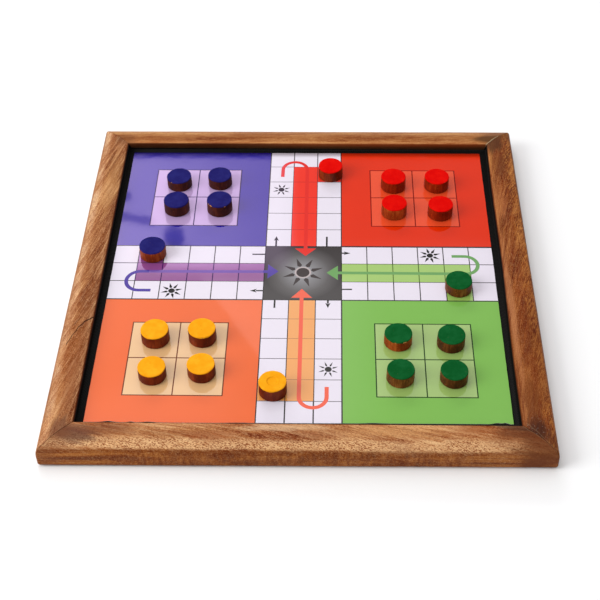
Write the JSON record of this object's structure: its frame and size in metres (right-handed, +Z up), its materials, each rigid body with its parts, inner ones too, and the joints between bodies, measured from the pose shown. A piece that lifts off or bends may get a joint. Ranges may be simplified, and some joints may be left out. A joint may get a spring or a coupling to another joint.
{
  "type": "snakes and ladders board",
  "caption": "Square two-sided game board in a mitred wooden frame: a race-game print in a shallow tray, a snakes and ladders print underneath, and round wooden magnetic tokens.",
  "frame": {"origin": "middle of the frame's underside, on the surface that the board lies on", "axes": "+Z up, through the board's thickness; -Y towards the near side, where the orange and green yards are; +X to the right"},
  "size_m": [0.303, 0.303, 0.0215],
  "materials": {
    "frame_wood": "oiled hardwood, satin, open grain",
    "brad_steel": "plain wire",
    "ludo_sheet": "colour print, gloss laminated",
    "snakes_sheet": "colour print, gloss laminated",
    "black_lining": "matt black, fine ribs",
    "steel_sheet": "tinned sheet",
    "core_board": "raw hardboard",
    "blue_token": "hand-painted top, stained side",
    "red_token": "hand-painted top, stained side",
    "yellow_token": "hand-painted top, stained side",
    "green_token": "hand-painted top, stained side",
    "magnet": "plain sintered disc"
  },
  "bodies": {
    "board": {"front_rail": "frame_wood", "back_rail": "frame_wood", "left_rail": "frame_wood", "right_rail": "frame_wood", "front_left_brad_low": "brad_steel", "front_left_brad_high": "brad_steel", "front_right_brad_low": "brad_steel", "front_right_brad_high": "brad_steel", "back_left_brad_low": "brad_steel", "back_left_brad_high": "brad_steel", "back_right_brad_low": "brad_steel", "back_right_brad_high": "brad_steel", "ludo_print": "ludo_sheet", "upper_lining": "black_lining", "upper_steel_sheet": "steel_sheet", "core_board": "core_board", "lower_steel_sheet": "steel_sheet", "lower_lining": "black_lining", "snakes_print": "snakes_sheet"},
    "blue_disc_1": {"blue_token_1": "blue_token", "blue_token_1_magnet": "magnet"},
    "blue_disc_2": {"blue_token_2": "blue_token", "blue_token_2_magnet": "magnet"},
    "blue_disc_3": {"blue_token_3": "blue_token", "blue_token_3_magnet": "magnet"},
    "blue_disc_4": {"blue_token_4": "blue_token", "blue_token_4_magnet": "magnet"},
    "blue_disc_5": {"blue_token_5": "blue_token", "blue_token_5_magnet": "magnet"},
    "red_disc_1": {"red_token_1": "red_token", "red_token_1_magnet": "magnet"},
    "red_disc_2": {"red_token_2": "red_token", "red_token_2_magnet": "magnet"},
    "red_disc_3": {"red_token_3": "red_token", "red_token_3_magnet": "magnet"},
    "red_disc_4": {"red_token_4": "red_token", "red_token_4_magnet": "magnet"},
    "red_disc_5": {"red_token_5": "red_token", "red_token_5_magnet": "magnet"},
    "yellow_disc_1": {"yellow_token_1": "yellow_token", "yellow_token_1_magnet": "magnet"},
    "yellow_disc_2": {"yellow_token_2": "yellow_token", "yellow_token_2_magnet": "magnet"},
    "yellow_disc_3": {"yellow_token_3": "yellow_token", "yellow_token_3_magnet": "magnet"},
    "yellow_disc_4": {"yellow_token_4": "yellow_token", "yellow_token_4_magnet": "magnet"},
    "yellow_disc_5": {"yellow_token_5": "yellow_token", "yellow_token_5_magnet": "magnet"},
    "green_disc_1": {"green_token_1": "green_token", "green_token_1_magnet": "magnet"},
    "green_disc_2": {"green_token_2": "green_token", "green_token_2_magnet": "magnet"},
    "green_disc_3": {"green_token_3": "green_token", "green_token_3_magnet": "magnet"},
    "green_disc_4": {"green_token_4": "green_token", "green_token_4_magnet": "magnet"},
    "green_disc_5": {"green_token_5": "green_token", "green_token_5_magnet": "magnet"}
  },
  "joints": [
    {"name": "blue_1_lift", "type": "slide", "parent": "board", "child": "blue_disc_1", "axis": [0, 0, 1], "range_m": [0, 0.06]},
    {"name": "blue_2_lift", "type": "slide", "parent": "board", "child": "blue_disc_2", "axis": [0, 0, 1], "range_m": [0, 0.06]},
    {"name": "blue_3_lift", "type": "slide", "parent": "board", "child": "blue_disc_3", "axis": [0, 0, 1], "range_m": [0, 0.06]},
    {"name": "blue_4_lift", "type": "slide", "parent": "board", "child": "blue_disc_4", "axis": [0, 0, 1], "range_m": [0, 0.06]},
    {"name": "blue_5_lift", "type": "slide", "parent": "board", "child": "blue_disc_5", "axis": [0, 0, 1], "range_m": [0, 0.06]},
    {"name": "red_1_lift", "type": "slide", "parent": "board", "child": "red_disc_1", "axis": [0, 0, 1], "range_m": [0, 0.06]},
    {"name": "red_2_lift", "type": "slide", "parent": "board", "child": "red_disc_2", "axis": [0, 0, 1], "range_m": [0, 0.06]},
    {"name": "red_3_lift", "type": "slide", "parent": "board", "child": "red_disc_3", "axis": [0, 0, 1], "range_m": [0, 0.06]},
    {"name": "red_4_lift", "type": "slide", "parent": "board", "child": "red_disc_4", "axis": [0, 0, 1], "range_m": [0, 0.06]},
    {"name": "red_5_lift", "type": "slide", "parent": "board", "child": "red_disc_5", "axis": [0, 0, 1], "range_m": [0, 0.06]},
    {"name": "yellow_1_lift", "type": "slide", "parent": "board", "child": "yellow_disc_1", "axis": [0, 0, 1], "range_m": [0, 0.06]},
    {"name": "yellow_2_lift", "type": "slide", "parent": "board", "child": "yellow_disc_2", "axis": [0, 0, 1], "range_m": [0, 0.06]},
    {"name": "yellow_3_lift", "type": "slide", "parent": "board", "child": "yellow_disc_3", "axis": [0, 0, 1], "range_m": [0, 0.06]},
    {"name": "yellow_4_lift", "type": "slide", "parent": "board", "child": "yellow_disc_4", "axis": [0, 0, 1], "range_m": [0, 0.06]},
    {"name": "yellow_5_lift", "type": "slide", "parent": "board", "child": "yellow_disc_5", "axis": [0, 0, 1], "range_m": [0, 0.06]},
    {"name": "green_1_lift", "type": "slide", "parent": "board", "child": "green_disc_1", "axis": [0, 0, 1], "range_m": [0, 0.06]},
    {"name": "green_2_lift", "type": "slide", "parent": "board", "child": "green_disc_2", "axis": [0, 0, 1], "range_m": [0, 0.06]},
    {"name": "green_3_lift", "type": "slide", "parent": "board", "child": "green_disc_3", "axis": [0, 0, 1], "range_m": [0, 0.06]},
    {"name": "green_4_lift", "type": "slide", "parent": "board", "child": "green_disc_4", "axis": [0, 0, 1], "range_m": [0, 0.06]},
    {"name": "green_5_lift", "type": "slide", "parent": "board", "child": "green_disc_5", "axis": [0, 0, 1], "range_m": [0, 0.06]}
  ]
}
